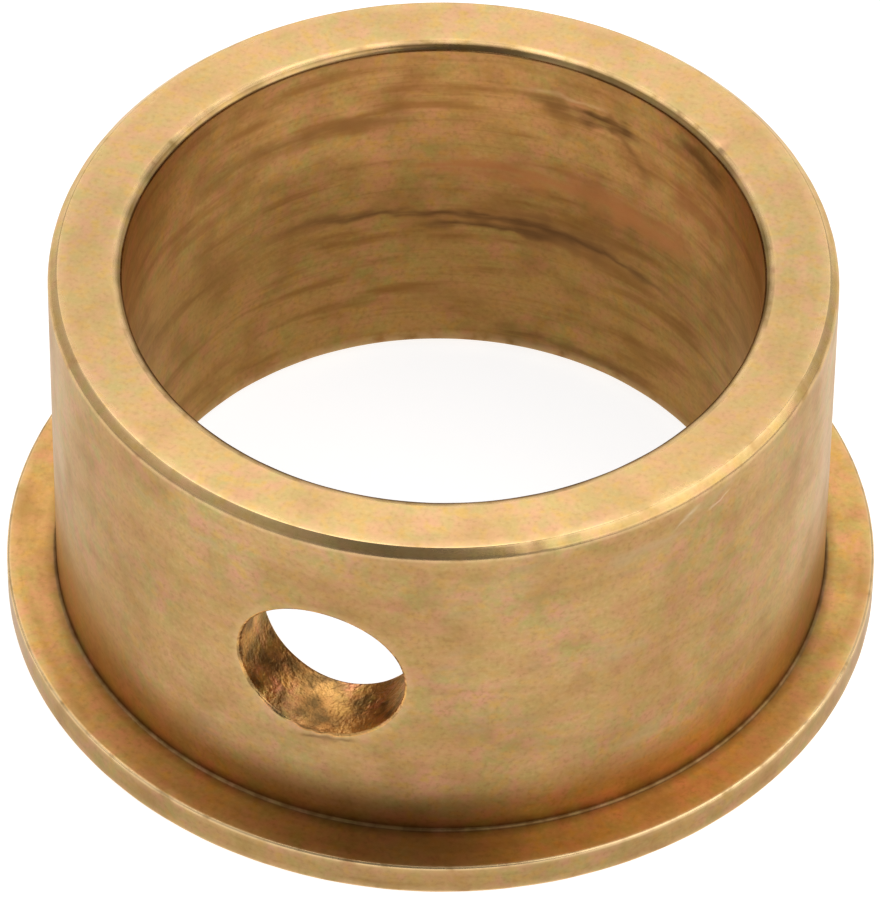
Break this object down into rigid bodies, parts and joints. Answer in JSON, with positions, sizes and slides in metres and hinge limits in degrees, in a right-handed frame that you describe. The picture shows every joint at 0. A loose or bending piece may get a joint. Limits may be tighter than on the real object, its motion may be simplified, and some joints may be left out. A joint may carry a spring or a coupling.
{
  "type": "flanged sleeve bushing",
  "caption": "Short thin-walled bronze sleeve bushing with a thin flange at one end and a round radial oil hole through its wall.",
  "frame": {"origin": "centre of the flange's lower face, on the bore axis", "axes": "+Z along the bore axis, from the flange towards the plain end; -Y through the centre of the radial oil hole"},
  "size_m": [0.0394, 0.0394, 0.0193],
  "materials": {
    "bronze": "machined satin bearing bronze: ground outside, turned faces, lightly stained bore"
  },
  "bodies": {
    "root": {"flanged_bushing": "bronze"}
  },
  "joints": []
}
